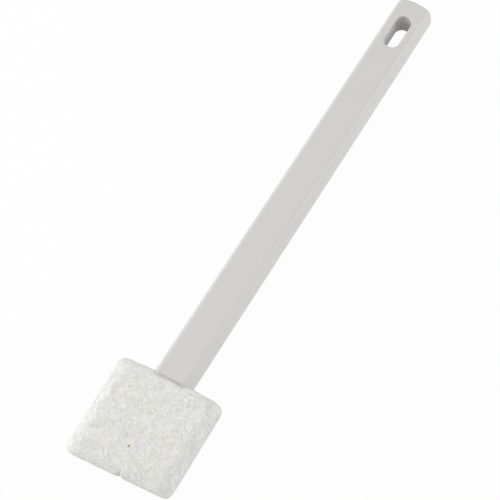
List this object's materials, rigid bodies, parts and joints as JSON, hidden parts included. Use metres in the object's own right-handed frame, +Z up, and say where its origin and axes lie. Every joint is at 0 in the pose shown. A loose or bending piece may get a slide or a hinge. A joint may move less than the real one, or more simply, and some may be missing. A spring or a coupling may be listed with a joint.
{
  "type": "foam sponge brush",
  "caption": "Sponge brush: a straight two-shell plastic handle with a hang slot, and a soft square head of foam on a stiff plate, wrapped in white non-woven fibre.",
  "frame": {"origin": "on the surface that the brush lies on, below the middle of its length and on the handle's axis", "axes": "+Y along the handle from the soft head to the hang slot, +Z up out of the front face, +X to the right seen from the front with the handle up"},
  "size_m": [0.0614, 0.3277, 0.018],
  "materials": {
    "handle_plastic": "satin, moulded, pale warm grey",
    "plate_plastic": "plain moulded, off-white",
    "adhesive_film": "soft, slightly yellow",
    "foam": "open-cell polyurethane foam, pale cream",
    "white_fibre": "matte non-woven polyester fibre, white",
    "thread": "matte spun thread, off-white"
  },
  "bodies": {
    "root": {"handle_front_shell": "handle_plastic", "handle_back_shell": "handle_plastic", "paddle": "plate_plastic", "tape_front": "adhesive_film", "tape_back": "adhesive_film", "foam_front": "foam", "foam_back": "foam", "fibre_cover": "white_fibre", "seam_thread": "thread"}
  },
  "joints": []
}
